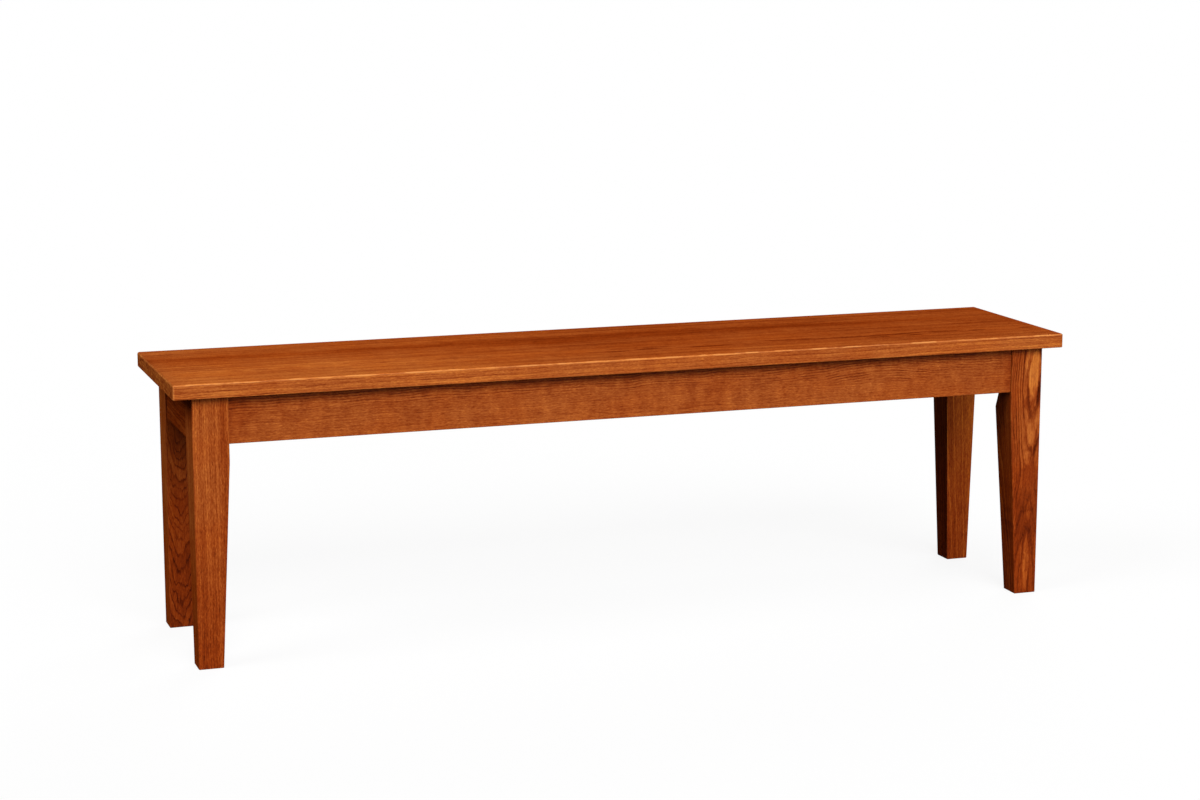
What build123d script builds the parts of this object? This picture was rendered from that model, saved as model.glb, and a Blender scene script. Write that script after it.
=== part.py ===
from build123d import *
import os
from math import radians, sqrt, tan

# A long wooden bench with a glued-up seat, four tapered legs and an apron frame, in millimetres.
# X runs along the bench, the front faces -Y, Z is up, and the origin is on the floor at the middle.

# Overall sizes
seat_length = 1524.0
seat_depth = 330.2
seat_thickness = 23.8
leg_length = 431.8

# Seat
seat_board_names = ("front", "middle", "back")
seat_end_overhang = 31.0
seat_side_overhang = 15.9
seat_top_round = 3.2
seat_corner_round = 4.0
seat_lower_ease = 0.8

# Legs, square at the top, with the two inner faces tapered
leg_width = 57.15
foot_width = 39.7
taper_drop = 28.6
leg_edge_round = 1.2
foot_ease = 0.8

# Flat planed on each leg's inner corner, behind the apron joint
leg_flat_side = 16.0
leg_flat_drop = 37.4
leg_flat_runout = 41.0

# Aprons
apron_height = 76.2
apron_thickness = 19.05
apron_setback = 3.2
apron_edge_round = 1.0

# Corner blocks, tongued into kerfs in the aprons
block_thickness = 22.0
block_height = 60.0
block_leg_gap = 3.0
block_ease = 1.0
tongue_width = 6.0
tongue_depth = 6.0
tongue_inset = 3.0
kerf_side_clearance = 0.1
kerf_end_clearance = 1.0

# Hanger bolts, washers and nuts
bolt_diameter = 7.94
bolt_leg_depth = 32.0
bolt_point_length = 6.0
bolt_stand_out = 5.0
bolt_end_ease = 0.8
bolt_hole_depth = 35.0
bolt_hole_clearance = 0.05
bolt_block_clearance = 0.6
washer_diameter = 19.0
washer_thickness = 1.6
washer_ease = 0.3
washer_hole_clearance = 0.3
nut_flats = 12.7
nut_height = 6.75
nut_face_diameter = 12.2
nut_ease = 0.7

# Wood screws, with a square drive
screw_diameter = 4.2
screw_point_length = 5.0
drive_width = 3.0
drive_depth = 2.0
flat_head_diameter = 8.4
flat_head_angle = 82.0
washer_head_diameter = 10.0
washer_head_rim = 0.8
washer_head_height = 3.0
washer_head_top_diameter = 7.6
screw_pilot_clearance = 0.05
screw_shank_clearance = 0.2
pilot_end_clearance = 1.0

# Corner block screws
block_screw_length = 20.0
block_screw_wood = 8.0
block_screw_inset = 12.9
block_screw_spread = 32.0
pocket_diameter = 11.0

# Cross rails, housed into the long aprons
rail_height = 50.8
rail_thickness = 19.05
rail_bays = 3
rail_edge_round = 1.0
rail_housing_depth = 6.35
rail_side_clearance = 0.1
rail_end_clearance = 0.3
rail_screw_length = 32.0
rail_screw_wood = 20.0

# Seat buttons, tongued into slots in the aprons
button_length = 32.0
button_width = 28.0
button_height = 19.05
button_gap = 3.0
button_ease = 1.0
button_tongue_drop = 8.0
button_tongue_thickness = 6.0
button_tongue_reach = 6.0
button_screw_length = 31.75
slot_side_room = 5.0
slot_end_room = 3.0
slot_lower_room = 0.6

# Cuts run past the faces that they open through
overrun = 2.0

# Places worked out from the sizes above
seat_bottom = leg_length
leg_outer_x = seat_length / 2 - seat_end_overhang
leg_outer_y = seat_depth / 2 - seat_side_overhang
apron_bottom = leg_length - apron_height
apron_inner = apron_setback + apron_thickness
long_apron_half = leg_outer_x - leg_width
end_apron_half = leg_outer_y - leg_width
taper_top = apron_bottom - taper_drop
block_bottom = apron_bottom + (apron_height - block_height) / 2
bolt_height = apron_bottom + apron_height / 2

# Distances from a leg's outer corner along the diagonal into the bench
leg_flat_reach = (2 * leg_width - leg_flat_side) / sqrt(2)
block_reach = leg_flat_reach + block_leg_gap
washer_reach = block_reach + block_thickness
nut_reach = washer_reach + washer_thickness
bolt_end_reach = nut_reach + nut_height + bolt_stand_out

# Distances from a leg's outer corner along each apron
block_near = block_reach * sqrt(2) - apron_inner
block_far = washer_reach * sqrt(2) - apron_inner
tongue_near = block_near + tongue_inset
tongue_far = tongue_near + tongue_width
block_screw_place = block_near + block_screw_inset

# Across the long aprons: the bay between two cross rails
rail_bay = 2 * long_apron_half / rail_bays
rail_places = [rail_bay * (n - rail_bays / 2) for n in range(1, rail_bays)]
button_places = [rail_bay * (n + (1 - rail_bays) / 2) for n in range(rail_bays)]

# Each leg's name, with its side of the bench in X and in Y
corners = {
    "front_left": (-1, -1),
    "front_right": (1, -1),
    "back_left": (-1, 1),
    "back_right": (1, 1),
}


def corner_point(sides, inset_x, inset_y):
    """The point of the floor plan that far in from a leg's outer corner."""
    side_x, side_y = sides
    return (side_x * (leg_outer_x - inset_x), side_y * (leg_outer_y - inset_y))


def corner_square(sides, width):
    """A leg's square outline in the floor plan, at that width."""
    return [corner_point(sides, x, y) for x, y in ((0, 0), (width, 0), (width, width), (0, width))]


def diagonal_plane(sides):
    """The upright plane through a leg's outer corner, with its X running diagonally into the bench."""
    side_x, side_y = sides
    inward = Vector(-side_x, -side_y, 0).normalized()
    across = inward.cross(Vector(0, 0, 1))
    return Plane(origin=corner_point(sides, 0, 0), x_dir=inward, z_dir=across)


def bolt_plane(sides, reach):
    """The plane square to a corner's hanger bolt, that far in from the leg's outer corner."""
    diagonal = diagonal_plane(sides)
    centre = diagonal.from_local_coords((reach, bolt_height, 0))
    return Plane(origin=centre, x_dir=(0, 0, 1), z_dir=diagonal.x_dir)


def block_screw_planes(sides):
    """The seats of a corner block's screws, facing out of the block along each screw."""
    side_x, side_y = sides
    seat = apron_inner + block_screw_wood
    faces = (
        (corner_point(sides, block_screw_place, seat), (0, -side_y, 0)),
        (corner_point(sides, seat, block_screw_place), (-side_x, 0, 0)),
    )
    return [
        Plane(origin=(x, y, bolt_height + step * block_screw_spread / 2), z_dir=facing)
        for (x, y), facing in faces
        for step in (-1, 1)
    ]


def apron_plane(inward, distance):
    """The floor-plan plane of an apron: X along its outer face, Y into the bench."""
    inward = Vector(*inward, 0)
    return Plane(origin=inward * -distance, x_dir=inward.cross(Vector(0, 0, 1)), z_dir=(0, 0, 1))


def save(part, name):
    """Labels a finished piece and writes it."""
    part.label = name
    export_step(part, f"parts/{name}.step")


os.makedirs("parts", exist_ok=True)

# Each apron's plane, half length, button places and cross rail places
long_apron_distance = leg_outer_y - apron_setback
end_apron_distance = leg_outer_x - apron_setback
aprons = {
    "front": (apron_plane((0, 1), long_apron_distance), long_apron_half, button_places, rail_places),
    "back": (apron_plane((0, -1), long_apron_distance), long_apron_half, button_places, rail_places),
    "left": (apron_plane((1, 0), end_apron_distance), end_apron_half, [0], []),
    "right": (apron_plane((-1, 0), end_apron_distance), end_apron_half, [0], []),
}

# Each button's name, with its apron and its place along it
button_names = {
    "front": ("front_left", "front_middle", "front_right"),
    "back": ("back_right", "back_middle", "back_left"),
    "left": ("left",),
    "right": ("right",),
}
buttons = {
    name: (apron, place)
    for apron, (_, _, places, _) in aprons.items()
    for name, place in zip(button_names[apron], places)
}
button_middle = apron_thickness + button_gap + button_length / 2


def button_screw_plane(apron, place):
    """Where a button's screw enters it from below."""
    point = aprons[apron][0].from_local_coords((place, button_middle, seat_bottom - button_height))
    return Plane(origin=point, z_dir=(0, 0, -1))


button_screw_planes = [button_screw_plane(*spot) for spot in buttons.values()]
rail_screw_planes = [
    Plane(origin=(x, 0, seat_bottom - rail_screw_wood), z_dir=(0, 0, -1)) for x in rail_places
]
corner_screw_planes = [plane for sides in corners.values() for plane in block_screw_planes(sides)]

# Wood screws, made once along their own axis: the point is below, the head's seat or rim is at zero
screw_radius = screw_diameter / 2
pilot_radius = screw_radius + screw_pilot_clearance
shank_hole_radius = screw_radius + screw_shank_clearance
flat_head_radius = flat_head_diameter / 2
flat_head_height = (flat_head_radius - screw_radius) / tan(radians(flat_head_angle / 2))


def make_screw(length, head, top):
    """A screw with this head outline, from its axis outwards, and a square drive in its top."""
    with BuildPart() as screw:
        with BuildSketch(Plane.XZ):
            with BuildLine():
                Polyline(
                    (0, top),
                    *head,
                    (screw_radius, screw_point_length - length),
                    (0, -length),
                    close=True,
                )
            make_face()
        revolve(axis=Axis.Z)
        with BuildSketch(Plane.XY.offset(top - drive_depth)):
            Rectangle(drive_width, drive_width)
        extrude(amount=drive_depth, mode=Mode.SUBTRACT)
    return screw.part


flat_head = [(flat_head_radius, 0), (screw_radius, -flat_head_height)]
washer_head = [
    (washer_head_top_diameter / 2, washer_head_height),
    (washer_head_top_diameter / 2, washer_head_rim),
    (washer_head_diameter / 2, washer_head_rim),
    (washer_head_diameter / 2, 0),
    (screw_radius, 0),
]
button_screw = make_screw(button_screw_length, flat_head, 0)
rail_screw = make_screw(rail_screw_length, washer_head, washer_head_height)
corner_screw = make_screw(block_screw_length, washer_head, washer_head_height)

with BuildPart() as button_screws:
    with Locations(*button_screw_planes):
        add(button_screw)
save(button_screws.part, "seat_button_screws")

with BuildPart() as rail_screws:
    with Locations(*rail_screw_planes):
        add(rail_screw)
save(rail_screws.part, "cross_rail_screws")

with BuildPart() as corner_screws:
    with Locations(*corner_screw_planes):
        add(corner_screw)
save(corner_screws.part, "corner_block_screws")

# Seat boards: each is its strip of the whole rounded seat
board_depth = seat_depth / len(seat_board_names)
button_pilot_depth = button_screw_length + pilot_end_clearance
rail_pilot_depth = rail_screw_length + pilot_end_clearance
for number, name in enumerate(seat_board_names):
    board_middle = board_depth * (number + 1 / 2) - seat_depth / 2
    with BuildPart() as seat_board:
        with BuildSketch(Plane.XY.offset(seat_bottom)):
            RectangleRounded(seat_length, seat_depth, seat_corner_round)
        extrude(amount=seat_thickness)
        fillet(seat_board.edges().group_by(Axis.Z)[-1], radius=seat_top_round)
        chamfer(seat_board.edges().group_by(Axis.Z)[0], length=seat_lower_ease)
        with BuildSketch(Plane.XY.offset(seat_bottom)):
            with Locations((0, board_middle)):
                Rectangle(seat_length, board_depth)
        extrude(amount=seat_thickness, mode=Mode.INTERSECT)
        with Locations(*button_screw_planes):
            Hole(radius=pilot_radius, depth=button_pilot_depth)
        with Locations(*rail_screw_planes):
            Hole(radius=pilot_radius, depth=rail_pilot_depth)
    save(seat_board.part, f"seat_board_{name}")

# Legs
for name, sides in corners.items():
    with BuildPart() as leg:
        with BuildSketch(Plane.XY):
            Polygon(*corner_square(sides, foot_width), align=None)
        with BuildSketch(Plane.XY.offset(taper_top)):
            Polygon(*corner_square(sides, leg_width), align=None)
        loft(ruled=True)
        with BuildSketch(Plane.XY.offset(taper_top)):
            Polygon(*corner_square(sides, leg_width), align=None)
        extrude(amount=leg_length - taper_top)
        long_edges = leg.edges().filter_by(lambda edge: abs(edge.tangent_at(0).Z) > 1 / 2)
        fillet(long_edges, radius=leg_edge_round)
        chamfer(leg.edges().group_by(Axis.Z)[0], length=foot_ease)
        with BuildSketch(diagonal_plane(sides)):
            with BuildLine():
                Polyline(
                    (leg_flat_reach, leg_length + overrun),
                    (leg_flat_reach, apron_bottom - leg_flat_drop + leg_flat_runout),
                    (leg_width * sqrt(2), apron_bottom - leg_flat_drop),
                    (leg_width * sqrt(2) + overrun, leg_length + overrun),
                    close=True,
                )
            make_face()
        extrude(amount=leg_width, both=True, mode=Mode.SUBTRACT)
        with Locations(bolt_plane(sides, leg_flat_reach)):
            Hole(radius=bolt_diameter / 2 + bolt_hole_clearance, depth=bolt_hole_depth)
    save(leg.part, f"leg_{name}")

# Aprons, with kerfs for the corner blocks, slots for the buttons and housings for the cross rails
kerf_width = tongue_width + 2 * kerf_side_clearance
kerf_depth = tongue_depth + kerf_end_clearance
slot_depth = button_tongue_reach + slot_end_room
slot_height = button_tongue_thickness + slot_lower_room
for name, (plane, half_length, button_spots, rail_spots) in aprons.items():
    corner_reach = half_length + leg_width
    kerf_middle = corner_reach - (tongue_near + tongue_far) / 2
    screw_middle = corner_reach - block_screw_place
    screw_heights = [bolt_height + step * block_screw_spread / 2 for step in (-1, 1)]
    with BuildPart() as apron:
        with BuildSketch(plane.offset(apron_bottom)):
            Rectangle(2 * half_length, apron_thickness, align=(Align.CENTER, Align.MIN))
        extrude(amount=apron_height)
        lower_edges = apron.edges().group_by(Axis.Z)[0]
        fillet(lower_edges.filter_by(Axis(plane.origin, plane.x_dir)), radius=apron_edge_round)
        with BuildSketch(plane.offset(apron_bottom)):
            with Locations((-kerf_middle, apron_thickness), (kerf_middle, apron_thickness)):
                Rectangle(kerf_width, kerf_depth, align=(Align.CENTER, Align.MAX))
        extrude(amount=apron_height, mode=Mode.SUBTRACT)
        with BuildSketch(plane.offset(seat_bottom - button_tongue_drop)):
            with Locations(*[(x, apron_thickness) for x in button_spots]):
                Rectangle(button_width + 2 * slot_side_room, slot_depth,
                          align=(Align.CENTER, Align.MAX))
        extrude(amount=-slot_height, mode=Mode.SUBTRACT)
        if rail_spots:
            with BuildSketch(plane.offset(seat_bottom)):
                with Locations(*[(x, apron_thickness) for x in rail_spots]):
                    Rectangle(rail_thickness + 2 * rail_side_clearance, rail_housing_depth,
                              align=(Align.CENTER, Align.MAX))
            extrude(amount=-rail_height, mode=Mode.SUBTRACT)
        pilot_planes = [
            Plane(origin=plane.from_local_coords((side * screw_middle, apron_thickness, height)),
                  z_dir=plane.y_dir)
            for side in (-1, 1)
            for height in screw_heights
        ]
        with Locations(*pilot_planes):
            Hole(radius=pilot_radius,
                 depth=block_screw_length - block_screw_wood + pilot_end_clearance)
    save(apron.part, f"apron_{name}")

# Corner blocks, with a tongue at each end, a hole for the hanger bolt and pockets for the screws
for name, sides in corners.items():
    tongue_end = apron_inner - tongue_depth
    half_outline = [
        (block_near, apron_inner),
        (tongue_near, apron_inner),
        (tongue_near, tongue_end),
        (tongue_far, tongue_end),
        (tongue_far, apron_inner),
        (block_far, apron_inner),
    ]
    outline = half_outline + [(y, x) for x, y in reversed(half_outline)]
    with BuildPart() as block:
        with BuildSketch(Plane.XY.offset(block_bottom)):
            Polygon(*[corner_point(sides, *point) for point in outline], align=None)
        extrude(amount=block_height)
        washer_seat = bolt_plane(sides, washer_reach)
        long_edges = block.edges().filter_by(Axis(washer_seat.origin, washer_seat.y_dir))
        chamfer(long_edges, length=block_ease)
        with Locations(washer_seat):
            Hole(radius=bolt_diameter / 2 + bolt_block_clearance)
        with Locations(*block_screw_planes(sides)):
            Hole(radius=shank_hole_radius, depth=block_screw_wood)
            Cylinder(radius=pocket_diameter / 2, height=block_thickness,
                     align=(Align.CENTER, Align.CENTER, Align.MIN), mode=Mode.SUBTRACT)
    save(block.part, f"corner_block_{name}")

# Hanger bolts, washers and nuts
bolt_radius = bolt_diameter / 2
for name, sides in corners.items():
    with BuildPart() as bolt:
        with BuildSketch(diagonal_plane(sides)):
            with BuildLine():
                Polyline(
                    (leg_flat_reach - bolt_leg_depth, bolt_height),
                    (leg_flat_reach - bolt_leg_depth + bolt_point_length, bolt_height + bolt_radius),
                    (bolt_end_reach - bolt_end_ease, bolt_height + bolt_radius),
                    (bolt_end_reach, bolt_height + bolt_radius - bolt_end_ease),
                    (bolt_end_reach, bolt_height),
                    close=True,
                )
            make_face()
        bolt_seat = bolt_plane(sides, 0)
        revolve(axis=Axis(bolt_seat.origin, bolt_seat.z_dir))
    save(bolt.part, f"hanger_bolt_{name}")

    with BuildPart() as washer:
        with BuildSketch(bolt_plane(sides, washer_reach)):
            Circle(washer_diameter / 2)
            Circle(bolt_radius + washer_hole_clearance, mode=Mode.SUBTRACT)
        extrude(amount=washer_thickness)
        chamfer(washer.edges().filter_by(GeomType.CIRCLE), length=washer_ease)
    save(washer.part, f"washer_{name}")

    with BuildPart() as nut:
        with BuildSketch(bolt_plane(sides, nut_reach)):
            RegularPolygon(radius=nut_flats / 2, side_count=6, major_radius=False)
            Circle(bolt_radius + bolt_hole_clearance, mode=Mode.SUBTRACT)
        extrude(amount=nut_height)
        with BuildSketch(diagonal_plane(sides)):
            with BuildLine():
                Polyline(
                    (nut_reach, bolt_height),
                    (nut_reach, bolt_height + nut_face_diameter / 2),
                    (nut_reach + nut_ease, bolt_height + nut_flats),
                    (nut_reach + nut_height - nut_ease, bolt_height + nut_flats),
                    (nut_reach + nut_height, bolt_height + nut_face_diameter / 2),
                    (nut_reach + nut_height, bolt_height),
                    close=True,
                )
            make_face()
        nut_seat = bolt_plane(sides, nut_reach)
        revolve(axis=Axis(nut_seat.origin, nut_seat.z_dir), mode=Mode.INTERSECT)
    save(nut.part, f"nut_{name}")

# Cross rails between the long aprons
rail_half = long_apron_distance - apron_thickness + rail_housing_depth - rail_end_clearance
for name, place in zip(("left", "right"), rail_places):
    with BuildPart() as rail:
        with BuildSketch(Plane.XY.offset(seat_bottom)):
            with Locations((place, 0)):
                Rectangle(rail_thickness, 2 * rail_half)
        extrude(amount=-rail_height)
        lower_edges = rail.edges().group_by(Axis.Z)[0]
        fillet(lower_edges.filter_by(Axis.Y), radius=rail_edge_round)
        with Locations(*rail_screw_planes):
            Hole(radius=shank_hole_radius)
            Cylinder(radius=pocket_diameter / 2, height=rail_height,
                     align=(Align.CENTER, Align.CENTER, Align.MIN), mode=Mode.SUBTRACT)
    save(rail.part, f"cross_rail_{name}")

# Seat buttons, with their tongues in the aprons' slots
for name, (apron_name, place) in buttons.items():
    plane = aprons[apron_name][0]
    with BuildPart() as button:
        with BuildSketch(plane.offset(seat_bottom)):
            with Locations((place, button_middle)):
                Rectangle(button_width, button_length)
        extrude(amount=-button_height)
        chamfer(button.edges().group_by(Axis.Z)[0], length=button_ease)
        with BuildSketch(plane.offset(seat_bottom - button_tongue_drop)):
            with Locations((place, apron_thickness + button_gap)):
                Rectangle(button_width, button_gap + button_tongue_reach,
                          align=(Align.CENTER, Align.MAX))
        extrude(amount=-button_tongue_thickness)
        with Locations(button_screw_plane(apron_name, place)):
            CounterSinkHole(radius=shank_hole_radius,
                            counter_sink_radius=flat_head_radius + screw_shank_clearance,
                            counter_sink_angle=flat_head_angle)
    save(button.part, f"seat_button_{name}")
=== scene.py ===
"""The shaker bench in a studio: stained oak with a satin finish, zinc plated hardware, a pale floor."""
import math

import bpy
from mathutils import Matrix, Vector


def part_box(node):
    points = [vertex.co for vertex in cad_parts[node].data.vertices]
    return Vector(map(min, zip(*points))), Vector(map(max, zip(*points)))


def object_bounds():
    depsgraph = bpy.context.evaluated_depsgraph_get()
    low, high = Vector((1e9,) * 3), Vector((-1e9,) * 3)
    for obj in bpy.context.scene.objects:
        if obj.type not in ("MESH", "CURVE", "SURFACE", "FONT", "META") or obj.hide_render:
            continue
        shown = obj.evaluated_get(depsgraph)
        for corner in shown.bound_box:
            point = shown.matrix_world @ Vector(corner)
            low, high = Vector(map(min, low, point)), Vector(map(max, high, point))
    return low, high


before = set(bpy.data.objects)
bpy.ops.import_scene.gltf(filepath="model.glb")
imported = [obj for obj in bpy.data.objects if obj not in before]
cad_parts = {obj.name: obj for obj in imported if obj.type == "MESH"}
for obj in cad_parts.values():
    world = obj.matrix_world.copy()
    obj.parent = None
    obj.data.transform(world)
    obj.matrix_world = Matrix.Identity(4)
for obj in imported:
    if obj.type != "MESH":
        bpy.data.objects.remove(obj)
cad_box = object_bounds()

MM = 0.001  # patterns are worked out in millimetres, and the frame is in metres
FULL_TURN = 2 * math.pi


# Camera

CAMERA_PLACE = (-1.42594, -4.05993, 1.15998)
CAMERA_YAW = 0.333874
CAMERA_PITCH = 0.184300
FOCAL_PIXELS = 2609.48
FRAME_PIXELS = 1200
SENSOR = 36.0
FARTHEST_SEEN = 200.0


def make_camera():
    """The camera at the photograph's viewing angle."""
    data = bpy.data.cameras.new("camera")
    data.sensor_width = SENSOR
    data.lens = FOCAL_PIXELS * SENSOR / FRAME_PIXELS
    data.clip_end = FARTHEST_SEEN
    camera = bpy.data.objects.new("camera", data)
    camera.location = CAMERA_PLACE
    camera.rotation_euler = (math.pi / 2 - CAMERA_PITCH, 0.0, -CAMERA_YAW)
    bpy.context.scene.collection.objects.link(camera)
    bpy.context.scene.camera = camera


# Node trees

class Graph:
    """Adds nodes to a tree. Methods give their last node's output, so that a pattern reads as a formula."""

    def __init__(self, tree):
        self.tree = tree

    def node(self, kind, inputs=None, **settings):
        made = self.tree.nodes.new(kind)
        for name, value in settings.items():
            setattr(made, name, value)
        for name, value in (inputs or {}).items():
            self.feed(made.inputs[name], value)
        return made

    def feed(self, socket, value):
        if isinstance(value, bpy.types.NodeSocket):
            self.tree.links.new(value, socket)
        else:
            socket.default_value = value

    def maths(self, operation, *values):
        made = self.node("ShaderNodeMath", operation=operation)
        for socket, value in zip(made.inputs, values):
            self.feed(socket, value)
        return made.outputs[0]

    def add(self, a, b):
        return self.maths("ADD", a, b)

    def minus(self, a, b):
        return self.maths("SUBTRACT", a, b)

    def times(self, a, b):
        return self.maths("MULTIPLY", a, b)

    def divided(self, a, b):
        return self.maths("DIVIDE", a, b)

    def larger(self, a, b):
        return self.maths("MAXIMUM", a, b)

    def absolute(self, value):
        return self.maths("ABSOLUTE", value)

    def weighted(self, start, *terms):
        """start plus each value times its weight."""
        total = start
        for value, weight in terms:
            total = self.maths("MULTIPLY_ADD", value, weight, total)
        return total

    def vector(self, operation, *values):
        made = self.node("ShaderNodeVectorMath", operation=operation)
        for socket, value in zip(made.inputs, values):
            self.feed(socket, value)
        return made.outputs["Value" if operation in ("DOT_PRODUCT", "LENGTH") else "Vector"]

    def scaled(self, vector, by):
        made = self.node("ShaderNodeVectorMath", {"Vector": vector, "Scale": by}, operation="SCALE")
        return made.outputs["Vector"]

    def shifted(self, vector, by):
        return self.vector("ADD", vector, by)

    def turned(self, vector, angles):
        made = self.node("ShaderNodeVectorRotate", {"Vector": vector, "Rotation": angles},
                         rotation_type="EULER_XYZ")
        return made.outputs["Vector"]

    def parts(self, vector):
        return self.node("ShaderNodeSeparateXYZ", {"Vector": vector}).outputs

    def joined(self, x, y, z):
        return self.node("ShaderNodeCombineXYZ", {"X": x, "Y": y, "Z": z}).outputs[0]

    def normal(self):
        """The parts of the surface's direction, as the bench stands."""
        return self.parts(self.node("ShaderNodeTexCoord").outputs["Normal"])

    def step(self, value, low, high):
        """Rises smoothly from 0 at low to 1 at high."""
        made = self.node("ShaderNodeMapRange", {"Value": value, "From Min": low, "From Max": high},
                         interpolation_type="SMOOTHSTEP")
        return made.outputs["Result"]

    def fall(self, value, low, high):
        """Falls smoothly from 1 at low to 0 at high."""
        return self.minus(1.0, self.step(value, low, high))

    def near(self, value, middle, reach):
        """1 where value is at the middle, and falls smoothly to 0 at reach from it."""
        return self.fall(self.absolute(self.minus(value, middle)), 0.0, reach)

    def oval(self, place, middle, half_size):
        """0 at the middle of an oval and 1 at its rim."""
        sides = [self.divided(self.minus(at, centre), half)
                 for at, centre, half in zip(place, middle, half_size)]
        return self.vector("LENGTH", self.joined(*sides, 0.0))

    def lines(self, level, spacing, thin):
        """Parallel lines, one to each spacing of the level, and thinner where thin is nearer to 0.9."""
        return self.step(self.maths("SINE", self.times(level, FULL_TURN / spacing)), thin, 0.9)

    def noise(self, vector, size, detail=2.0, roughness=0.5, output="Fac"):
        """Noise whose lumps are as large as size says along each axis. Its mean is 0.5."""
        spread = self.vector("DIVIDE", vector, size)
        made = self.node("ShaderNodeTexNoise", {"Vector": spread, "Scale": 1.0, "Detail": detail,
                                                "Roughness": roughness})
        return made.outputs[output]

    def swing(self, vector, size, detail=2.0, roughness=0.5):
        """Noise to either side of zero."""
        return self.minus(self.noise(vector, size, detail, roughness), 0.5)

    def drift(self, vector, size, detail=2.0):
        """Noise to either side of zero along each axis."""
        return self.vector("SUBTRACT", self.noise(vector, size, detail, output="Color"), (0.5, 0.5, 0.5))

    def noise_line(self, value, size, detail=1.0):
        """Noise along one value."""
        made = self.node("ShaderNodeTexNoise",
                         {"W": self.times(value, 1 / size), "Scale": 1.0, "Detail": detail},
                         noise_dimensions="1D")
        return made.outputs["Fac"]

    def white_noise(self, value):
        """A number from 0 to 1 that jumps with each value."""
        return self.node("ShaderNodeTexWhiteNoise", {"W": value}, noise_dimensions="1D").outputs["Value"]

    def dots(self, vector, size, full, gone):
        """Dots strewn about one size apart, full out to one share of that size and gone at another."""
        spread = self.vector("DIVIDE", vector, size)
        off = self.node("ShaderNodeTexVoronoi", {"Vector": spread, "Scale": 1.0}).outputs["Distance"]
        return self.fall(off, full, gone)

    def ramp(self, value, stops):
        made = self.node("ShaderNodeValToRGB", {"Fac": value})
        elements = made.color_ramp.elements
        while len(elements) < len(stops):
            elements.new(0.5)
        for element, (place, colour) in zip(elements, stops):
            element.position = place
            element.color = (*colour, 1.0)
        return made.outputs["Color"]

    def mix(self, share, a, b, blend="MIX"):
        made = self.node("ShaderNodeMix", data_type="RGBA", blend_type=blend)
        self.feed(made.inputs[0], share)
        self.feed(made.inputs[6], a if isinstance(a, bpy.types.NodeSocket) else (*a, 1.0))
        self.feed(made.inputs[7], b if isinstance(b, bpy.types.NodeSocket) else (*b, 1.0))
        return made.outputs[2]

    def mix_shaders(self, share, a, b):
        made = self.node("ShaderNodeMixShader", {"Fac": share})
        self.feed(made.inputs[1], a)
        self.feed(made.inputs[2], b)
        return made.outputs[0]

    def diffuse(self, grey):
        return self.node("ShaderNodeBsdfDiffuse", {"Color": (grey, grey, grey, 1.0)}).outputs[0]

    def bump(self, height, strength, distance):
        """The surface's direction under a fine relief, whose full height is that distance in mm."""
        return self.node("ShaderNodeBump", {"Height": height, "Strength": strength,
                                            "Distance": distance * MM}).outputs[0]

    def show(self, shader):
        """Makes the shader the material's surface."""
        self.feed(self.node("ShaderNodeOutputMaterial").inputs["Surface"], shader)


def new_group(name, inputs, outputs):
    """A node group with inputs and outputs as (kind, name), its Graph, and its two ends' sockets."""
    group = bpy.data.node_groups.new(name, "ShaderNodeTree")
    for kind, label in inputs:
        group.interface.new_socket(label, in_out="INPUT", socket_type=f"NodeSocket{kind}")
    for kind, label in outputs:
        group.interface.new_socket(label, in_out="OUTPUT", socket_type=f"NodeSocket{kind}")
    g = Graph(group)
    return group, g, g.node("NodeGroupInput").outputs, g.node("NodeGroupOutput").inputs


def new_material(name):
    """An empty material and its Graph."""
    material = bpy.data.materials.new(name)
    material.use_nodes = True
    material.node_tree.nodes.clear()
    return material, Graph(material.node_tree)


# Oak as a solid pattern

# What a board's oak is like where the board doesn't say otherwise, with lengths in mm
PLAIN_BOARD = {
    "seed": 0.0,  # which part of the endless pattern the board is cut from
    "wave": (0.0, 200.0, 0.0),  # how far the trunk swells, over which length, and from where
    "wander": 6.0,  # how far the rings wander slowly
    "wobble": 2.0,  # how far they wander quickly
    "waver": 1.5,  # how far the fibres waver
    "ring": 2.4,  # width of a year's ring
    "early": 0.5,  # share of a ring that is early wood
    "depth": 0.20,  # how much darker the early wood is
    "fade": 0.5,  # how much of that fades in patches
    "pores": 0.24,  # how much darker the open pores are
    "fibres": 0.5,  # how strongly the fibres, the mottle and the streaks show
    "mottle": 0.10,
    "streaks": 1.0,
}
PLAIN_TONE = 0.70  # a plain spot's place on the stain's ramp
SEED_STEP = (137.0, 71.0, 613.0)  # how far apart two seeds lie in the endless pattern

# Sizes of the patterns in mm, twice across the grain and once along it
WAVERS = (70.0, 70.0, 95.0)
SLOW_BENDS = (60.0, 60.0, 240.0)
MIDDLING_BENDS = (13.0, 13.0, 60.0)
QUICK_BENDS = (4.0, 4.0, 22.0)
FADED_PATCHES = (18.0, 18.0, 48.0)
FINE_PORES = (0.62, 0.62, 8.0)
COARSE_PORES = (1.5, 1.5, 14.0)
LATE_PORES = (1.0, 1.0, 9.0)
STREAKS = (2.6, 2.6, 130.0)
CLOUDS = (34.0, 34.0, 230.0)
LONG_FIBRES = (1.2, 1.2, 15.0)
SHORT_FIBRES = (1.5, 1.5, 5.0)
RIPPLES = (30.0, 30.0, 16.0)
UNEVEN_RINGS = 12.0  # outwards from the heart
RAYS = (34.0, 0.045, 0.16)  # per radian about the heart, and per mm outwards and along the trunk

# Patterns of one kind are taken from places this far apart, so that they don't coincide
PATCHES_APART = (3.0, 811.0, 97.0)
COARSE_APART = (31.0, 17.0, 5.0)
LATE_APART = (7.0, 3.0, 91.0)
SHORT_APART = (5.0, 47.0, 23.0)
RINGS_APART = 53.0  # from one seed to the next


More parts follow.
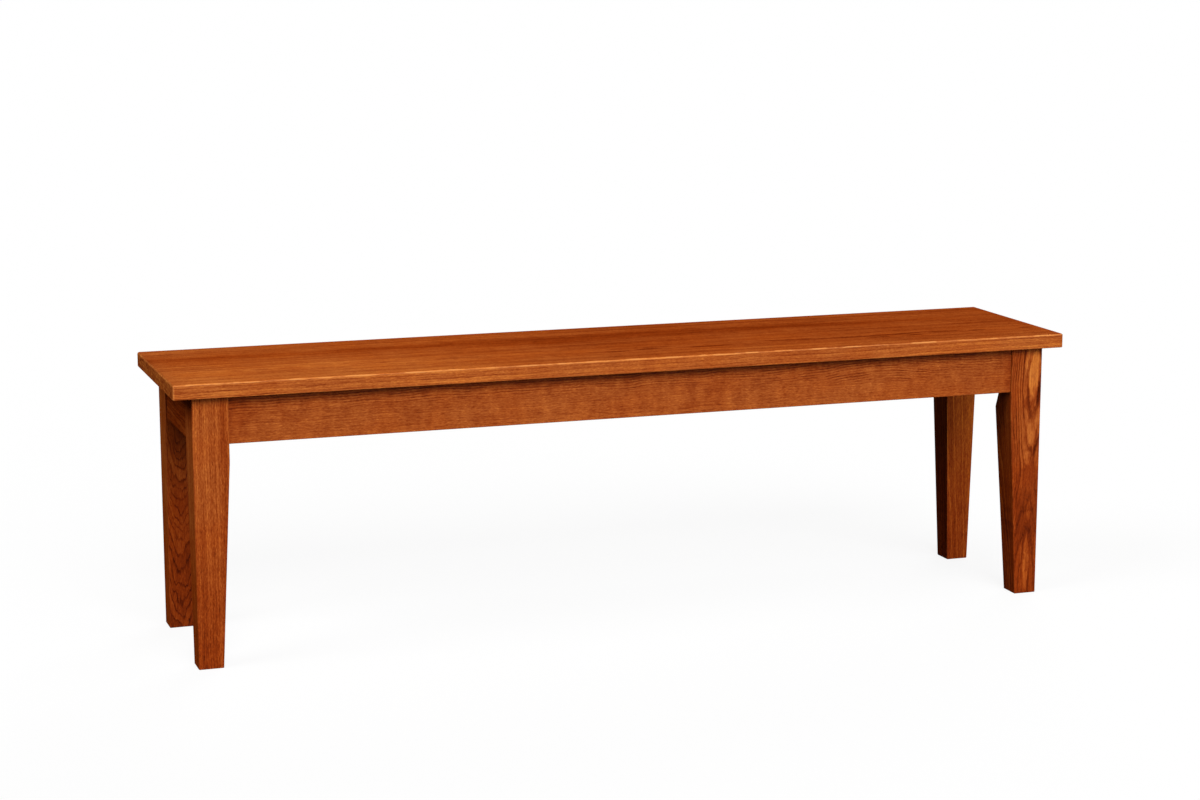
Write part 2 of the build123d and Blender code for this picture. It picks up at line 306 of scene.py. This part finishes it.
def bent_trunk(g, given, place, strewn, quick):
    """How far a place lies from the tree's heart, and at which turn about it. The trunk isn't a true
    cylinder: it swells, bends and ripples along its length."""
    swell, wave_length, wave_start = g.parts(given["wave"])
    along = g.parts(given["place"])["Z"]
    wave = g.maths("COSINE", g.times(g.divided(g.minus(along, wave_start), wave_length), FULL_TURN))
    swollen = g.vector("SUBTRACT", place, g.joined(0.0, g.times(swell, wave), 0.0))
    wander = g.joined(given["wander"], given["wander"], 0.0)
    wobble = g.joined(given["wobble"], given["wobble"], 0.0)
    bends = g.vector("MULTIPLY", g.drift(strewn, SLOW_BENDS, 1.0), wander)
    bends = g.vector("MULTIPLY_ADD", g.drift(strewn, MIDDLING_BENDS), wobble, bends)
    bends = g.vector("MULTIPLY_ADD", quick, (1.0, 1.0, 0.0), bends)
    x, y, _ = g.parts(g.vector("SUBTRACT", g.shifted(swollen, bends), given["heart"]))
    return g.vector("LENGTH", g.joined(x, y, 0.0)), g.maths("ARCTAN2", y, x)


def yearly_rings(g, given, radius, strewn):
    """The early wood, how much of it shows, and each year's own tone. The rings are of uneven width, each
    with a sharp dark start and a slow paler end."""
    seed, early_end = given["seed"], given["early"]
    uneven = g.noise_line(g.add(radius, g.times(seed, RINGS_APART)), UNEVEN_RINGS, 2.0)
    rings = g.weighted(g.divided(radius, given["ring"]), (uneven, 1.8))
    year = g.add(g.maths("FLOOR", rings), seed)
    season = g.maths("FRACT", rings)
    early = g.times(g.step(season, 0.0, 0.10), g.fall(season, g.times(early_end, 0.30), early_end))
    this_year = g.times(g.white_noise(year), g.step(season, 0.0, 0.3))
    last_year = g.times(g.white_noise(g.add(year, -1.0)), g.fall(season, 0.0, 0.3))
    patches = g.step(g.noise(g.shifted(strewn, PATCHES_APART), FADED_PATCHES), 0.36, 0.62)
    shown = g.minus(1.0, g.times(given["fade"], g.minus(1.0, patches)))
    return early, g.times(early, shown), g.add(this_year, last_year)


def open_pores(g, bent, early):
    """Long open vessels, most of them in the early wood: dashes along the grain and dots across it."""
    fine = g.dots(bent, FINE_PORES, 0.18, 0.42)
    coarse = g.dots(g.shifted(bent, COARSE_APART), COARSE_PORES, 0.14, 0.32)
    late = g.dots(g.shifted(bent, LATE_APART), LATE_PORES, 0.12, 0.26)
    in_rings = g.larger(g.times(fine, early), g.times(coarse, g.weighted(0.35, (early, 0.55))))
    return g.larger(in_rings, g.times(late, 0.55))


def ray_flecks(g, radius, turn, strewn):
    """Thin sheets that stand on the rings, seen as flecks where a face cuts along them."""
    sheets = g.vector("MULTIPLY", g.joined(turn, radius, g.parts(strewn)["Z"]), RAYS)
    return g.dots(sheets, (1.0, 1.0, 1.0), 0.14, 0.30)


def make_oak():
    """Ring porous oak. Its place is in millimetres from the board's middle, with the trunk along Z."""
    inputs = [("Vector", "place"), ("Vector", "heart"), ("Vector", "wave"), ("Float", "end grain")]
    inputs += [("Float", label) for label in PLAIN_BOARD if label != "wave"]
    outputs = [("Float", "tone"), ("Float", "pores"), ("Float", "flecks"), ("Float", "relief")]
    group, g, given, result = new_group("oak", inputs, outputs)

    # The fibres run straight in some boards and waver in others
    level = g.shifted(given["place"], g.scaled(SEED_STEP, given["seed"]))
    waver = g.joined(given["waver"], given["waver"], 0.0)
    wavering = g.vector("MULTIPLY", g.drift(level, WAVERS, 1.5), waver)
    strewn = g.shifted(level, wavering)
    quick = g.drift(strewn, QUICK_BENDS)
    bent = g.vector("MULTIPLY_ADD", quick, (0.6, 0.6, 5.0), strewn)

    radius, turn = bent_trunk(g, given, g.shifted(given["place"], wavering), strewn, quick)
    early, shown, year_tone = yearly_rings(g, given, radius, strewn)
    pores = open_pores(g, bent, early)
    flecks = ray_flecks(g, radius, turn, strewn)
    long_fibres = g.swing(bent, LONG_FIBRES, 3.0, 0.6)
    short_fibres = g.swing(g.shifted(bent, SHORT_APART), SHORT_FIBRES, 2.0, 0.6)
    fibres = g.weighted(g.times(long_fibres, 0.6), (short_fibres, 0.7))
    streaks = g.swing(strewn, STREAKS, 3.0, 0.6)
    clouds = g.swing(strewn, CLOUDS, 3.0, 0.55)
    ripples = g.swing(strewn, RIPPLES)

    broad = g.weighted(g.times(streaks, 0.40), (clouds, 0.42), (g.minus(year_tone, 0.5), 0.20))
    darker = g.weighted(g.times(shown, given["depth"]), (pores, given["pores"]))
    tone = g.weighted(PLAIN_TONE, (darker, -1.0), (broad, given["streaks"]), (fibres, given["fibres"]),
                      (ripples, given["mottle"]), (flecks, 0.05), (given["end grain"], 0.03))
    relief = g.weighted(0.5, (pores, -0.40), (early, -0.08), (flecks, 0.04), (fibres, 0.20))
    for label, value in (("tone", tone), ("pores", pores), ("flecks", flecks), ("relief", relief)):
        g.feed(result[label], value)
    return group


# Edges, by how much brighter they are

SEAT_ROUND = 3.2
EASED = 1.6
EASED_PALER = 0.14


def eased_edge(g, on_board):
    """A little brighter along eased edges: partly stain rubbed off, partly a painted highlight where the
    rounded edge catches the light.
    """
    rounded = g.node("ShaderNodeBevel", {"Radius": EASED * MM}, samples=6).outputs[0]
    sharp = g.node("ShaderNodeNewGeometry").outputs["Normal"]
    edge = g.step(g.minus(1.0, g.vector("DOT_PRODUCT", rounded, sharp)), 0.01, 0.10)
    rubbed_and_highlit = g.step(g.noise(on_board, (9.0, 9.0, 14.0), 3.0, 0.6), 0.36, 0.60)
    # painted highlight along eased edges, broken up in patches like rubbed stain
    return g.times(g.times(edge, rubbed_and_highlit), EASED_PALER)


def seat_edge(g, place):
    """Brighter in a wavy, broken line along the seat's rounded top edge and at its upright corners: a
    painted highlight where the rounding catches the light, partly stain sanded through there."""
    x, y, z = g.parts(place)
    half_length, half_depth, top = (at / MM for at in cad_box[1])
    end = g.step(g.absolute(x), half_length - SEAT_ROUND, half_length - 0.6 * SEAT_ROUND)
    side = g.step(g.absolute(y), half_depth - SEAT_ROUND, half_depth - 0.6 * SEAT_ROUND)
    around = g.add(x, y)
    wavy = g.noise_line(around, 52.0, 2.0)
    broken = g.step(g.noise_line(g.add(around, 3000.0), 46.0, 3.0), 0.42, 0.64)
    line = g.weighted(top - 0.70 * SEAT_ROUND, (wavy, 0.5 * SEAT_ROUND))
    on_line = g.fall(g.absolute(g.minus(z, line)), 0.10 * SEAT_ROUND, 0.46 * SEAT_ROUND)
    # painted highlight along the rounded top edge, partly stain sanded through
    bright = g.times(on_line, g.weighted(0.13, (broken, 0.31)))
    bright = g.times(bright, g.larger(g.times(end, 0.28), side))
    # painted highlight on the seat's upright corners
    return g.larger(bright, g.times(g.times(end, side), 0.13))


# Figure and painted shade, as areas of the bench in mm, with how much paler and how much redder each is

# Middle along and across the seat, half length and half width
SEAT_MARKS = [
    (-18.0, -91.0, 24.0, 6.0),
    (36.0, -83.0, 30.0, 7.5),
    (146.0, -88.0, 46.0, 5.5),
    (450.0, -95.0, 30.0, 5.0),
    (516.0, -92.0, 22.0, 5.5),
    (580.0, -75.0, 40.0, 7.0),
    (641.0, -81.0, 19.0, 6.0),
    (733.0, -82.0, 20.0, 5.0),
]
# Middle across the leg, half width, bottom and top, and how much paler
LEG_FLAMES = [
    (715.0, 14.0, 334.0, 500.0, 0.18),
    (722.0, 9.0, 290.0, 338.0, 0.13),
    (714.0, 9.0, 256.0, 308.0, 0.13),
    (710.0, 10.0, 226.0, 254.0, 0.12),
    (711.0, 6.5, 4.0, 104.0, 0.19),
    (714.0, 4.5, 128.0, 168.0, 0.13),
    (708.0, 12.0, 322.0, 352.0, -0.14),
    (724.0, 6.0, 338.0, 366.0, -0.10),
    (726.0, 6.0, 250.0, 288.0, -0.12),
    (712.0, 32.0, 60.0, 250.0, -0.15),
]
FLAME_REDNESS = -0.8  # how much redder a flame is, as a share of how much paler
RIM_DARKNESS = -0.45  # how much paler a pale flame's rim is, as the same share


def facing_left(g):
    """1 on the sides that face along -X."""
    return g.step(g.times(g.normal()["X"], -1.0), 0.4, 0.9)


def seat_marks(g, x, y):
    """A long curved dark line on the seat's right half with short marks in line with it, and the wood
    just behind that line."""
    ragged = g.swing(g.joined(x, y, 0.0), (26.0, 6.0, 1.0), 3.0, 0.6)
    along = g.divided(g.minus(x, 405.0), 165.0)
    curve = g.weighted(-81.0, (g.times(along, along), 15.0), (ragged, 9.0))
    inside = g.fall(g.absolute(along), 0.70, 1.05)
    dark = g.times(g.near(y, curve, 9.0), g.times(inside, g.weighted(0.9, (ragged, 2.0))))
    behind = g.times(g.near(y, g.add(curve, 13.0), 9.0), inside)
    for middle_x, middle_y, half_length, half_width in SEAT_MARKS:
        off = g.oval((x, y), (middle_x, middle_y), (half_length, half_width))
        dark = g.larger(dark, g.fall(g.weighted(off, (ragged, 1.2)), 0.40, 1.15))
    return dark, behind


def seat_band(g, place, bend):
    """A torn band along the seat, towards the back, that thins out to the right."""
    x, y, _ = g.parts(place)
    spread = g.noise_line(g.add(x, 900.0), 170.0)
    off_band = g.absolute(g.minus(y, g.weighted(44.0, (bend, 32.0))))
    half_band = g.weighted(16.0, (spread, 22.0), (g.near(x, -60.0, 480.0), 26.0))
    band = g.fall(g.divided(off_band, half_band), 0.15, 1.0)
    torn = g.step(g.noise(place, (60.0, 9.0, 60.0), 3.0, 0.6), 0.32, 0.60)
    return g.times(g.times(band, g.fall(x, 420.0, 800.0)), g.weighted(0.40, (torn, 0.60)))


def seat_top_areas(g, place):
    """The colours of the glued-up seat's top, and its dark marks."""
    x, y, _ = g.parts(place)
    left_end = cad_box[0].x / MM
    bend = g.noise_line(x, 230.0, 2.0)
    front_left = g.times(g.near(x, -560.0, 560.0), g.near(y, -90.0, 190.0))
    right_part = g.step(x, -420.0, 80.0)
    front_strip = g.near(y, -152.0, 60.0)
    back_streak = g.times(g.near(g.weighted(y, (bend, 10.0)), 97.0, 6.0), g.near(x, 270.0, 110.0))
    back_left = g.times(g.near(x, left_end, 300.0), g.near(y, 150.0, 75.0))
    by_left_end = g.fall(x, left_end, left_end + 28.0)
    marks, behind_marks = seat_marks(g, x, y)
    return [
        (1.0, -0.048, 0.50),  # all of the top
        (seat_band(g, place, bend), -0.12, 0.50),
        (front_left, 0.08, -0.35),
        (right_part, -0.068, 0.0),
        (front_strip, 0.05, -0.25),
        (marks, -0.26, 0.0),
        (behind_marks, 0.06, 0.0),
        (back_streak, 0.09, -0.50),
        (back_left, 0.03, -0.90),
        (by_left_end, -0.03, -0.40),
    ]


def seat_figure(g, place):
    """The seat's top, fine wavy lines on the left half of its front edge, and specks on its ends."""
    x, _, z = g.parts(place)
    normal_x, normal_y, normal_z = g.normal()
    on_top = g.step(normal_z, 0.4, 0.9)
    at_end = g.step(g.absolute(normal_x), 0.5, 0.9)
    front_left = g.times(g.fall(normal_y, -0.9, -0.5), g.fall(x, -420.0, 100.0))
    lines = g.lines(g.weighted(z, (g.noise_line(x, 60.0, 2.0), 7.0)), 3.8, 0.0)
    torn = g.step(g.noise(place, (36.0, 36.0, 5.0)), 0.40, 0.58)
    specks = g.swing(place, (20.0, 20.0, 4.0))
    areas = [(g.times(where, on_top), paler, redder) for where, paler, redder in seat_top_areas(g, place)]
    return areas + [
        (g.times(g.times(lines, torn), front_left), -0.17, 0.0),
        (front_left, 0.07, 0.0),
        (g.times(specks, at_end), 0.75, 0.0),
        (at_end, 0.0, 0.15),
    ]


def apron_figure_and_shade(g, place):
    """Fine dark wavy lines in the front apron's top third, arched right of the middle, one faint swirl,
    painted shade under the seat's overhang, and darker, redder towards the legs."""
    x, _, z = g.parts(place)
    arch = g.near(x, 430.0, 210.0)
    bend = g.noise_line(x, 95.0)
    ragged = g.swing(place, (14.0, 14.0, 4.0))
    lines = g.lines(g.weighted(z, (bend, -10.0), (arch, -13.0), (ragged, 2.5)), 4.4, 0.1)
    torn = g.step(g.noise(place, (50.0, 50.0, 9.0)), 0.38, 0.56)
    high_up = g.step(g.weighted(z, (arch, 16.0)), 396.0, 412.0)
    swirl = g.near(g.oval((x, z), (265.0, 385.0), (15.0, 13.0)), 0.85, 0.32)
    # painted shade: darker and redder at the top of the apron, in the seat's shadow
    painted_shade_under_seat = g.step(z, 410.0, 430.0)
    by_right_leg = g.step(x, 654.0, 673.0)
    by_left_leg = g.fall(x, -673.0, -610.0)
    return [
        (g.times(g.times(lines, torn), high_up), -0.26, 0.0),
        (swirl, -0.08, 0.0),
        (painted_shade_under_seat, -0.10, 0.10),
        (by_right_leg, -0.13, 0.30),
        (by_left_leg, -0.07, 0.20),
    ]


def flame(g, x, z, middle, half_width, low, high):
    """The inside and the rim of a tall flame, with a ragged edge."""
    ragged = g.swing(g.joined(x, 0.0, z), (6.0, 6.0, 26.0), 3.0, 0.65)
    off = g.oval((x, z), (middle, (low + high) / 2), (half_width, (high - low) / 2))
    off = g.weighted(off, (ragged, 1.4))
    return g.fall(off, 0.66, 1.02), g.near(off, 1.18, 0.32)


def front_right_figure(g, place):
    """Pale flames at the top and the foot of the front right leg, and dark wood between them."""
    x, _, z = g.parts(place)
    left_part = g.fall(x, 690.0, 702.0)
    areas = [(left_part, -0.05, 0.30)]
    for middle, half_width, low, high, paler in LEG_FLAMES:
        inside, rim = flame(g, x, z, middle, half_width, low, high)
        areas.append((inside, paler, FLAME_REDNESS * paler))
        if paler > 0:
            areas.append((rim, RIM_DARKNESS * paler, 0.0))
    return areas


def front_right_calm(g, place):
    """The front right leg's rings fade out below its middle and on its inner side."""
    low_down = g.fall(g.parts(place)["Z"], 205.0, 270.0)
    return g.times(g.larger(low_down, facing_left(g)), 0.60)


def front_left_figure_and_shadow(g, place):
    """A redder darker stripe along the front left leg's right side, a pale line along its left, painted
    shadow of the seat darkening the top of its outer side, and that side a little paler low down."""
    x, _, z = g.parts(place)
    right_stripe = g.near(x, -682.0, 11.0)
    left_line = g.near(x, -728.0, 3.5)
    # painted shadow of the seat's overhang on the top of the outer side
    painted_shadow_outer_top = g.times(facing_left(g), g.step(z, 355.0, 425.0))
    outer_low = g.times(facing_left(g), g.fall(z, 150.0, 400.0))
    return [
        (right_stripe, -0.07, 0.35),
        (left_line, 0.07, 0.0),
        (painted_shadow_outer_top, -0.19, 0.20),
        (outer_low, 0.05, 0.0),
    ]


def back_left_figure(g, place):
    """The back left leg's side that faces left is paler and less red than its other sides."""
    return [(facing_left(g), 0.11, -0.25)]


def back_right_painted_shade(g, place):
    """Painted shade on the back right leg's inner side, which faces left under the seat: darker, a little
    less red.
    """
    # painted shade: the inner side facing left is darker
    return [(facing_left(g), -0.15, -0.05)]


# Stained oak

STAIN = [
    (0.00, (0.036, 0.0045, 0.0006)),
    (0.25, (0.120, 0.0165, 0.0020)),
    (0.50, (0.255, 0.0430, 0.0060)),
    (0.75, (0.430, 0.1040, 0.0190)),
    (1.00, (0.680, 0.2180, 0.0360)),
]
RED_STAIN = (0.98, 0.78, 0.50)  # where the stain lies redder, it keeps this much of its colour
BARE_WOOD_AND_HIGHLIGHT = (0.62, 0.27, 0.085)  # shows where an edge has lost its stain, and colours the painted highlight along edges
GRAIN_TURNS = {"X": (0.0, -math.pi / 2, 0.0), "Y": (math.pi / 2, 0.0, 0.0), "Z": (0.0, 0.0, 0.0)}
BARE_AND_HIGHLIGHT_SHARE = 1.2  # how much bare wood and painted highlight show, as a share of how much paler the edge is
EDGE_REDNESS = -1.5
PATCH_REDNESS = 0.35
STAIN_PATCHES = (90.0, 90.0, 60.0)
SMEARS = (60.0, 60.0, 60.0)
FOOT_ZONE = 340.0  # the legs darken over this height towards the floor
FOOT_REDNESS = 4.5  # how much redder that makes them, as a share of how much darker
SATIN = 0.55
THIN_COAT = 0.08
COAT_ROUGHNESS = 0.26
BUMP_STRENGTH = 0.6
BUMP_HEIGHT = 0.25


def stained_colour(g, shade, redness, wear_and_highlight):
    """The stain at a shade from dark to pale, redder where asked, and bare wood along edges for their wear
    and their painted highlight.
    """
    colour = g.ramp(shade, STAIN)
    redder = g.mix(redness, colour, g.mix(1.0, colour, RED_STAIN, "MULTIPLY"))
    return g.mix(g.times(wear_and_highlight, BARE_AND_HIGHLIGHT_SHARE), redder, BARE_WOOD_AND_HIGHLIGHT)


def lacquered(g, wood, colour, smear, end_grain, rough, coat):
    """The shader of finished wood. All its gloss comes from the coat."""
    roughness = g.weighted(rough, (wood["pores"], 0.20), (smear, 0.20), (wood["flecks"], -0.06),
                           (end_grain, 0.12))
    bump = g.bump(wood["relief"], BUMP_STRENGTH, BUMP_HEIGHT)
    shader = g.node("ShaderNodeBsdfPrincipled", {
        "Base Color": colour, "Roughness": roughness, "Normal": bump, "Specular IOR Level": 0.0,
        "Coat Roughness": COAT_ROUGHNESS, "Coat Normal": bump})
    if coat:
        facing = g.node("ShaderNodeLayerWeight", {"Blend": 0.5}).outputs["Facing"]
        lacquer = g.weighted(coat, (wood["pores"], -0.8 * coat), (smear, 0.6 * coat),
                             (end_grain, -0.5 * coat))
        g.feed(shader.inputs["Coat Weight"], g.times(lacquer, g.fall(facing, 0.2, 0.65)))
    return shader.outputs[0]


def oak_material(oak, node, grain, heart, lean=(0.0, 0.0), tone=0.0, red=0.0, foot=0.0, rough=SATIN,
                 coat=THIN_COAT, edge=None, figure=None, calm=None, **own):
    """Stained oak for one board. heart is how far the tree's centre lies from the board's middle, in mm:
    down and back for a board along X, right and down along Y, and right and back along Z. lean is how much
    the trunk leans against the board, in degrees."""
    material, g = new_material(f"oak_{node}")
    low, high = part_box(node)
    here = g.node("ShaderNodeTexCoord").outputs["Object"]
    place = g.scaled(here, 1 / MM)
    on_board = g.scaled(g.vector("SUBTRACT", here, tuple((low + high) / 2)), 1 / MM)
    upright = g.turned(on_board, GRAIN_TURNS[grain])
    in_tree = g.turned(upright, (math.radians(lean[0]), math.radians(lean[1]), 0.0))
    end_grain = g.step(g.absolute(g.normal()[grain]), 0.6, 0.95)
    board = {**PLAIN_BOARD, **own, "place": in_tree, "heart": (*heart, 0.0), "end grain": end_grain}
    if calm:
        board["depth"] = g.times(g.minus(1.0, calm(g, place)), board["depth"])
    wood = g.node("ShaderNodeGroup", board, node_tree=oak).outputs

    # edge wear together with a painted highlight along the edges
    wear_and_highlight = edge(g, place) if edge else eased_edge(g, on_board)
    areas = figure(g, place) if figure else []
    # darker and redder towards the floor: partly the stain, partly painted shade for light falling off low
    # down
    if foot:
        areas.append((g.fall(g.parts(place)["Z"], 0.0, FOOT_ZONE), -foot, FOOT_REDNESS * foot))
    patches = g.step(g.noise(on_board, STAIN_PATCHES), 0.38, 0.66)
    shade = g.add(g.add(wood["tone"], tone), wear_and_highlight)
    shade = g.weighted(shade, *[(where, paler) for where, paler, _ in areas if paler])
    redness = g.weighted(red, (patches, PATCH_REDNESS), (wear_and_highlight, EDGE_REDNESS))
    redness = g.weighted(redness, *[(where, redder) for where, _, redder in areas if redder])

    smear = g.swing(on_board, SMEARS, 3.0)
    colour = stained_colour(g, shade, redness, wear_and_highlight)
    g.show(lacquered(g, wood, colour, smear, end_grain, rough, coat))
    return material


# Steel

DULL_ZINC = (0.50, 0.50, 0.47)
BRIGHT_ZINC = (0.72, 0.73, 0.72)
ZINC_CLOUDS = (3.0, 3.0, 3.0)
ZINC_GRIT = (0.4, 0.4, 0.4)
GRIT_STRENGTH = 0.25
GRIT_HEIGHT = 0.05


def steel_material():
    """Bright zinc plate, slightly clouded."""
    material, g = new_material("zinc_steel")
    place = g.scaled(g.node("ShaderNodeTexCoord").outputs["Object"], 1 / MM)
    clouds = g.noise(place, ZINC_CLOUDS, 3.0, 0.6)
    grit = g.noise(place, ZINC_GRIT)
    rough = g.weighted(0.22, (clouds, 0.22), (grit, 0.10))
    shader = g.node("ShaderNodeBsdfPrincipled", {
        "Base Color": g.mix(clouds, DULL_ZINC, BRIGHT_ZINC), "Metallic": 1.0, "Roughness": rough,
        "Normal": g.bump(grit, GRIT_STRENGTH, GRIT_HEIGHT)})
    g.show(shader.outputs[0])
    return material


# Dressing, in which boards cut from different trees differ in heart and lean

INNER_GRAIN = {"corner_block": "Z", "cross_rail": "Y", "seat_button": "Z"}


def dress(node, material):
    """Gives a node of the frame its material."""
    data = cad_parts[node].data
    data.materials.clear()
    data.materials.append(material)


def dress_seat(wood):
    """Three boards from different trees, under one stain."""
    seat = {"tone": 0.03, "edge": seat_edge, "figure": seat_figure, "mottle": 0.12, "streaks": 0.8,
            "wander": 5.0, "waver": 2.0, "pores": 0.17, "fibres": 0.65}
    wood("seat_board_front", "X", (62.0, 38.0), wave=(5.0, 5200.0, -700.0), ring=2.6, depth=0.16, fade=0.8,
         seed=1.0, **seat)
    wood("seat_board_middle", "X", (60.0, -60.0), lean=(0.2, 0.3), ring=2.3, depth=0.12, seed=2.0, **seat)
    wood("seat_board_back", "X", (85.0, 60.0), lean=(0.1, -0.3), ring=2.2, depth=0.12, seed=3.0, **seat)


def dress_legs(wood):
    """Four legs, each darker towards its foot."""
    # darker and redder towards the floor: partly the stain, partly painted shade
    foot = 0.17
    wood("leg_front_left", "Z", (75.0, 70.0), lean=(0.3, 0.2), depth=0.11, pores=0.20, fibres=0.85,
         streaks=0.6, seed=4.0, tone=-0.02, red=0.05, foot=foot, figure=front_left_figure_and_shadow)
    wood("leg_front_right", "Z", (11.3, 19.1), lean=(0.3, -1.8), wave=(4.0, 360.0, -10.0), wander=2.5,
         wobble=4.5, ring=2.7, early=0.6, depth=0.34, seed=5.0, red=0.15, foot=foot,
         figure=front_right_figure, calm=front_right_calm)
    wood("leg_back_left", "Z", (-6.5, -65.0), lean=(2.7, 0.0), wave=(1.8, 420.0, 150.0), wander=5.0,
         wobble=5.5, ring=2.0, early=0.4, depth=0.30, fade=0.7, seed=6.0, tone=-0.10, red=0.4, foot=foot,
         figure=back_left_figure)
    wood("leg_back_right", "Z", (-70.0, 75.0), lean=(0.3, 0.4), ring=2.0, seed=7.0, depth=0.12, tone=0.09,
         fibres=0.75, red=0.85, foot=foot, figure=back_right_painted_shade)


def dress_aprons(wood):
    """Four plain boards, of which the left one is darkened and reddened as painted shade of the seat's
    overhang.
    """
    wood("apron_front", "X", (70.0, 50.0), lean=(0.1, 0.2), ring=3.0, depth=0.08, fade=0.8, waver=8.0,
         pores=0.11, fibres=0.74, mottle=0.30, streaks=0.27, seed=8.0, tone=-0.037, figure=apron_figure_and_shade)
    wood("apron_back", "X", (20.0, -70.0), lean=(0.4, 0.6), ring=2.2, waver=5.0, mottle=0.20, seed=9.0)
    # tone and red here are painted shade of the seat's overhang on the left apron
    wood("apron_left", "Y", (60.0, 40.0), lean=(0.3, 0.4), ring=2.2, depth=0.14, fibres=0.8, seed=10.0,
         tone=-0.24, red=0.5)
    wood("apron_right", "Y", (-60.0, -30.0), lean=(0.4, 0.6), ring=2.2, seed=11.0)


def dress_inside(wood):
    """Thinly stained, unpolished wood and zinc plated steel under the seat."""
    steel = steel_material()
    for count, node in enumerate(sorted(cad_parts)):
        grain = next((INNER_GRAIN[kind] for kind in INNER_GRAIN if node.startswith(kind)), None)
        if grain and not node.endswith("screws"):
            wood(node, grain, (40.0, 50.0 + count), seed=20.0 + count, tone=0.06, rough=0.75, coat=0.0)
        elif not node.startswith(("seat_board", "leg", "apron")):
            dress(node, steel)


def dress_all():
    """Every node of the frame gets its wood or steel."""
    oak = make_oak()

    def wood(node, grain, heart, **choices):
        dress(node, oak_material(oak, node, grain, heart, **choices))

    dress_seat(wood)
    dress_legs(wood)
    dress_aprons(wood)
    dress_inside(wood)


# Studio

FLOOR_REACH = 60.0
BACKGROUND_SHARE = 0.88  # how much of the floor is plain white to the camera, the rest keeps the shadow
FLOOR_PALE = 0.95
FLOOR_UNSEEN = 0.06  # what the floor sends back up into the bench
AMBIENT = 0.06


def seen_directly(g):
    """1 for rays from the camera and for those that metal and glass pass on."""
    path = g.node("ShaderNodeLightPath").outputs
    return g.larger(g.larger(path["Is Camera Ray"], path["Is Glossy Ray"]), path["Is Transmission Ray"])


def make_floor():
    """A wide pale floor that keeps the bench's shadow."""
    mesh = bpy.data.meshes.new("floor")
    corners = [(-FLOOR_REACH, -FLOOR_REACH, 0), (FLOOR_REACH, -FLOOR_REACH, 0),
               (FLOOR_REACH, FLOOR_REACH, 0), (-FLOOR_REACH, FLOOR_REACH, 0)]
    mesh.from_pydata(corners, [], [(0, 1, 2, 3)])
    floor = bpy.data.objects.new("floor", mesh)
    bpy.context.scene.collection.objects.link(floor)
    material, g = new_material("floor")
    white = g.node("ShaderNodeEmission", {"Strength": 1.0}).outputs[0]
    seen = g.mix_shaders(BACKGROUND_SHARE, g.diffuse(FLOOR_PALE), white)
    g.show(g.mix_shaders(seen_directly(g), g.diffuse(FLOOR_UNSEEN), seen))
    mesh.materials.append(material)


def make_world():
    """White to the camera, and a dim even light on the bench."""
    world = bpy.data.worlds.new("studio")
    world.use_nodes = True
    world.node_tree.nodes.clear()
    g = Graph(world.node_tree)
    background = g.node("ShaderNodeBackground", {"Color": (1.0, 1.0, 1.0, 1.0),
                                                 "Strength": g.larger(seen_directly(g), AMBIENT)})
    g.feed(g.node("ShaderNodeOutputWorld").inputs["Surface"], background.outputs[0])
    bpy.context.scene.world = world


def make_lamp(name, right, back, up, light, softness):
    """A wide far lamp that stands to the right, back and up in those proportions. light is what a white
    surface that faces it sends back, and softness is its width in degrees."""
    data = bpy.data.lights.new(name, "SUN")
    data.energy = math.pi * light
    data.angle = math.radians(softness)
    lamp = bpy.data.objects.new(name, data)
    lamp.rotation_euler = (math.atan2(math.hypot(right, back), up), 0.0, math.atan2(right, -back))
    bpy.context.scene.collection.objects.link(lamp)


def make_lamps():
    """Soft light from the front and the left, with some from behind on the seat."""
    make_lamp("key", right=-0.08, back=-1.0, up=0.76, light=0.77, softness=30.0)
    make_lamp("low_front", right=0.40, back=-1.0, up=0.31, light=0.34, softness=28.0)
    make_lamp("left", right=-1.0, back=-0.22, up=0.92, light=0.41, softness=30.0)
    make_lamp("back", right=0.75, back=1.0, up=0.30, light=0.66, softness=40.0)


make_camera()
dress_all()
make_floor()
make_world()
make_lamps()
bpy.context.scene.view_settings.view_transform = "Standard"
